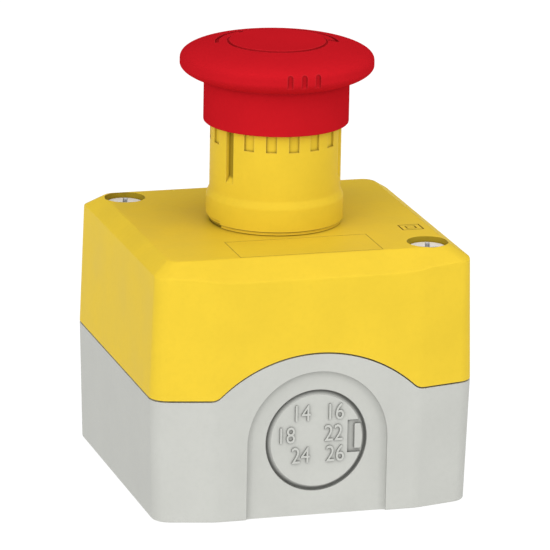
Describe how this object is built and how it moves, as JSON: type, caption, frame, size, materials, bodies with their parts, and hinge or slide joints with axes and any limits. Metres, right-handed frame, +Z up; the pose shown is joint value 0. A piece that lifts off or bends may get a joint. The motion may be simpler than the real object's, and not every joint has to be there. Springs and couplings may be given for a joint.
{
  "type": "emergency stop button",
  "caption": "Emergency stop station: grey base box with cable entries, yellow lid, red mushroom head that is pushed and turned to release, with contact blocks inside.",
  "frame": {"origin": "centre of the base's underside", "axes": "+Z up along the push button's axis; -Y towards the front cable entry; X across the two contact blocks"},
  "size_m": [0.068, 0.068, 0.0916],
  "materials": {
    "base_grey": "fine matt moulded plastic, light grey",
    "cover_yellow": "satin moulded plastic, signal yellow",
    "head_red": "satin moulded plastic, signal red",
    "seal_black": "matt black rubber",
    "shaft_black": "black engineering plastic",
    "latch_white": "natural white engineering plastic",
    "block_dark": "dark moulded plastic",
    "plunger_red": "red plastic",
    "plunger_green": "green plastic",
    "steel": "zinc plated steel",
    "brass": "plain brass"
  },
  "bodies": {
    "root": {"base_box": "base_grey", "contact_bracket": "steel", "bracket_screw_left": "steel", "bracket_screw_right": "steel", "nc_block_housing": "block_dark", "nc_block_spring": "steel", "nc_terminal_front": "brass", "nc_clamp_front": "steel", "nc_terminal_screw_front": "steel", "nc_terminal_rear": "brass", "nc_clamp_rear": "steel", "nc_terminal_screw_rear": "steel", "no_block_housing": "block_dark", "no_block_spring": "steel", "no_terminal_front": "brass", "no_clamp_front": "steel", "no_terminal_screw_front": "steel", "no_terminal_rear": "brass", "no_clamp_rear": "steel", "no_terminal_screw_rear": "steel"},
    "lid": {"cover": "cover_yellow", "cover_gasket": "seal_black", "cover_screw_front": "steel", "cover_screw_rear": "steel", "cover_screw_seal_front": "seal_black", "cover_screw_seal_rear": "seal_black", "head_body": "cover_yellow", "head_gasket": "seal_black", "head_nut": "shaft_black", "shaft_seal": "seal_black", "return_spring": "steel"},
    "push_carriage": {"push_plate": "latch_white", "latch_spring": "steel"},
    "mushroom": {"mushroom_cap": "head_red", "operating_shaft": "shaft_black"},
    "latch": {"latch_ring": "latch_white"},
    "nc_contact": {"nc_block_plunger": "plunger_red", "nc_block_bridge": "brass"},
    "no_contact": {"no_block_plunger": "plunger_green", "no_block_bridge": "brass"}
  },
  "joints": [
    {"name": "lid_lift", "type": "slide", "parent": "root", "child": "lid", "axis": [0, 0, 1], "range_m": [0, 0.06]},
    {"name": "head_push", "type": "slide", "parent": "lid", "child": "push_carriage", "axis": [0, 0, -1], "range_m": [0, 0.005], "stiffness_N_per_m": 2500, "springref_m": -0.003, "deforming": ["return_spring", "nc_block_spring", "no_block_spring"]},
    {"name": "head_twist", "type": "hinge", "parent": "push_carriage", "child": "mushroom", "pos_m": [0, 0, 0.06], "axis": [0, 0, -1], "range_deg": [0, 45], "stiffness_Nm_per_rad": 0.05, "springref_deg": -17.19},
    {"name": "latch_turn", "type": "hinge", "parent": "push_carriage", "child": "latch", "pos_m": [0, 0, 0.0535], "axis": [0, 0, 1], "range_deg": [0, 45], "stiffness_Nm_per_rad": 0.01, "springref_deg": -11.46},
    {"name": "nc_contact_travel", "type": "slide", "parent": "root", "child": "nc_contact", "axis": [0, 0, -1], "range_m": [0, 0.005], "stiffness_N_per_m": 300, "springref_m": -0.002},
    {"name": "no_contact_travel", "type": "slide", "parent": "root", "child": "no_contact", "axis": [0, 0, -1], "range_m": [0, 0.005], "stiffness_N_per_m": 300, "springref_m": -0.002}
  ],
  "couplings": [
    {"joint": "nc_contact_travel", "follows": "head_push", "ratio": 1},
    {"joint": "no_contact_travel", "follows": "head_push", "ratio": 1}
  ]
}
